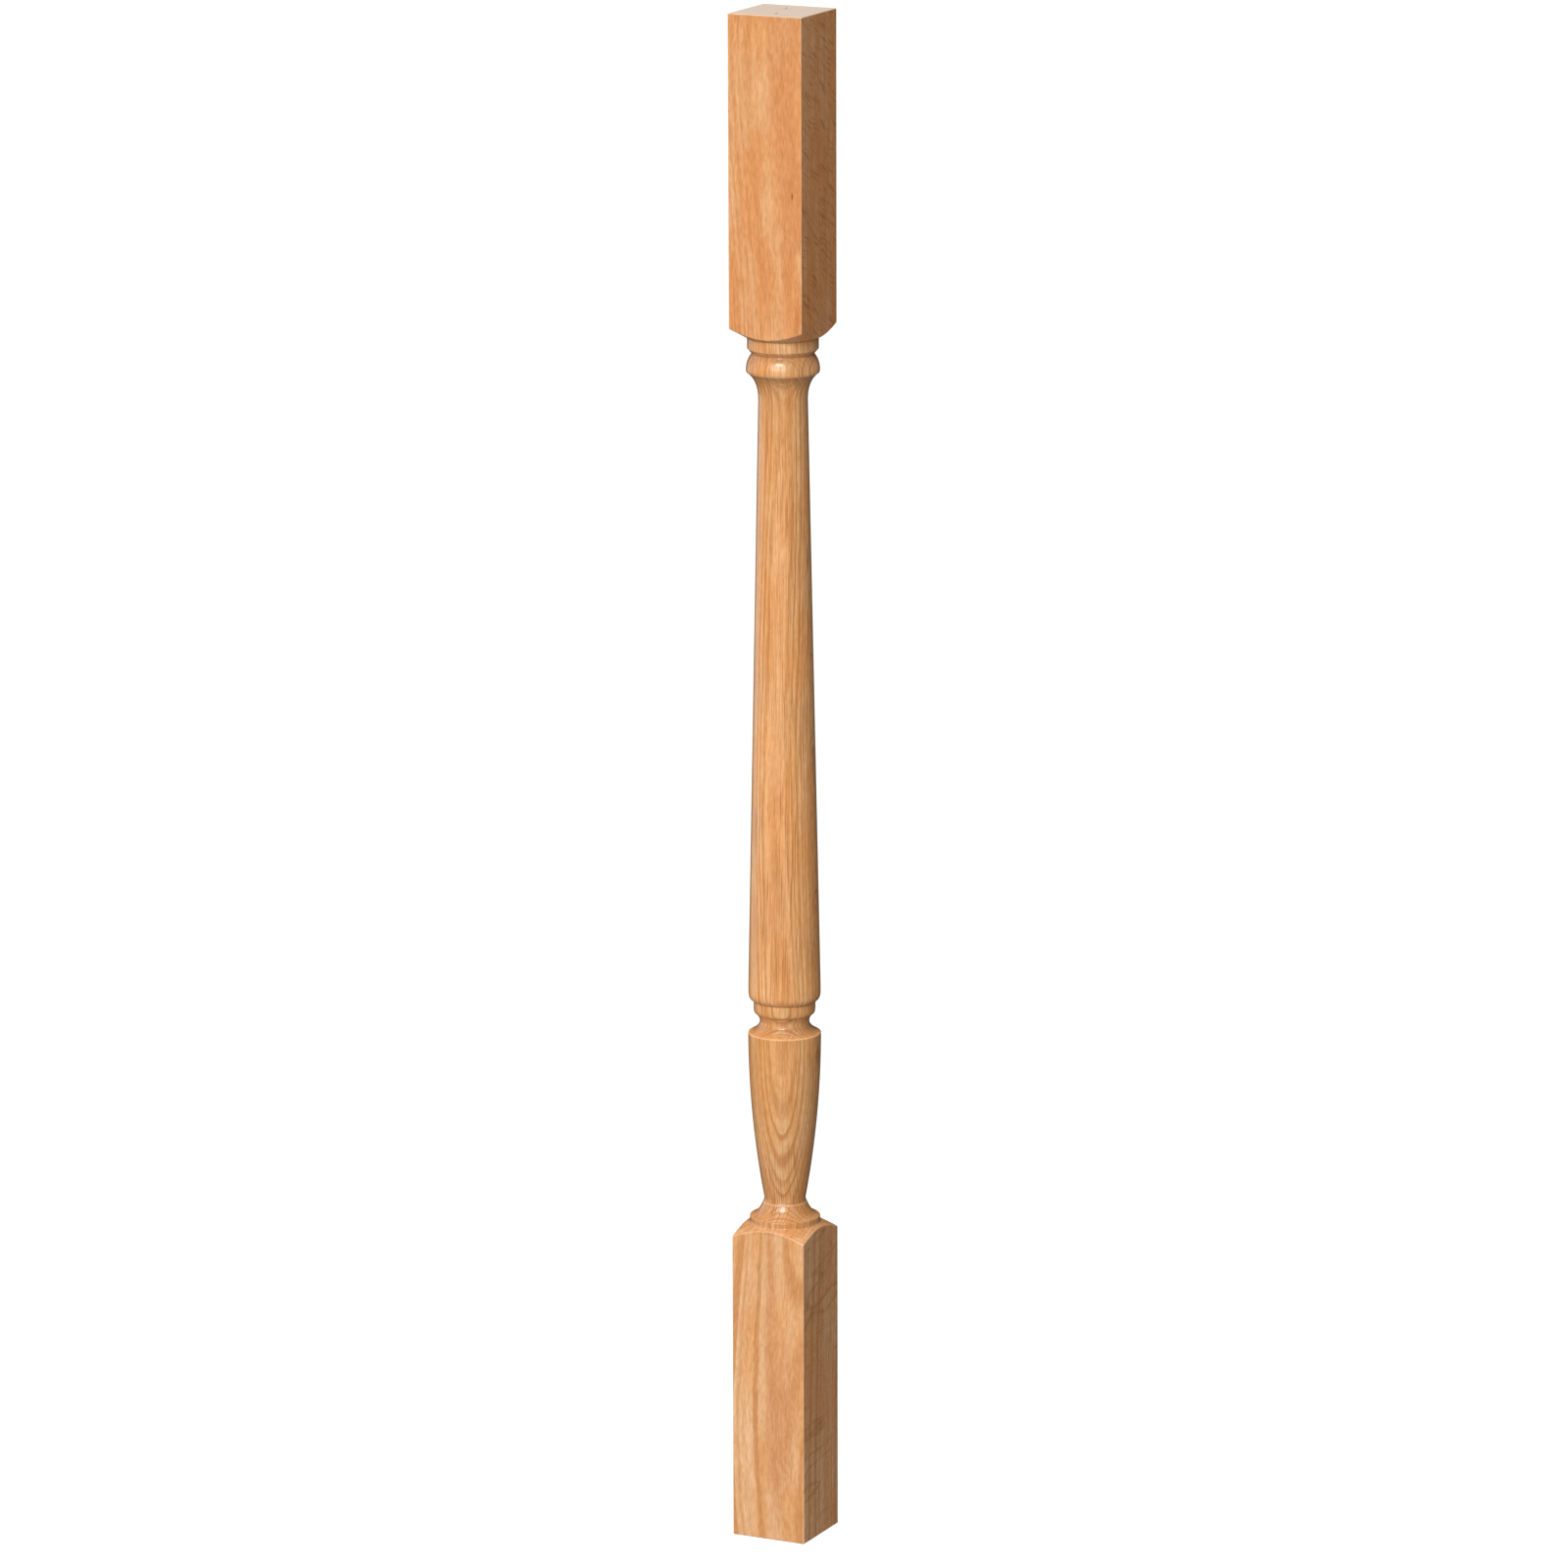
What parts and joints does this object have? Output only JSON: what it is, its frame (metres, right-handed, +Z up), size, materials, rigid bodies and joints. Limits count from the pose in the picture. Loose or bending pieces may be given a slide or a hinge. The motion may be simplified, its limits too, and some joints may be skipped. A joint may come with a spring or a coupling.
{
  "type": "turned baluster",
  "caption": "Slim turned wooden stair baluster with plain square blocks at both ends, a vase, a ring and a long tapering shaft between them, for fixing under a handrail.",
  "frame": {"origin": "middle of the square underside", "axes": "+Z up along the turning axis, X and Y square to the faces of the blocks"},
  "size_m": [0.0444, 0.0444, 0.8636],
  "materials": {
    "oak": "satin clear coat over straight-grained red oak"
  },
  "bodies": {
    "root": {"baluster": "oak"}
  },
  "joints": []
}
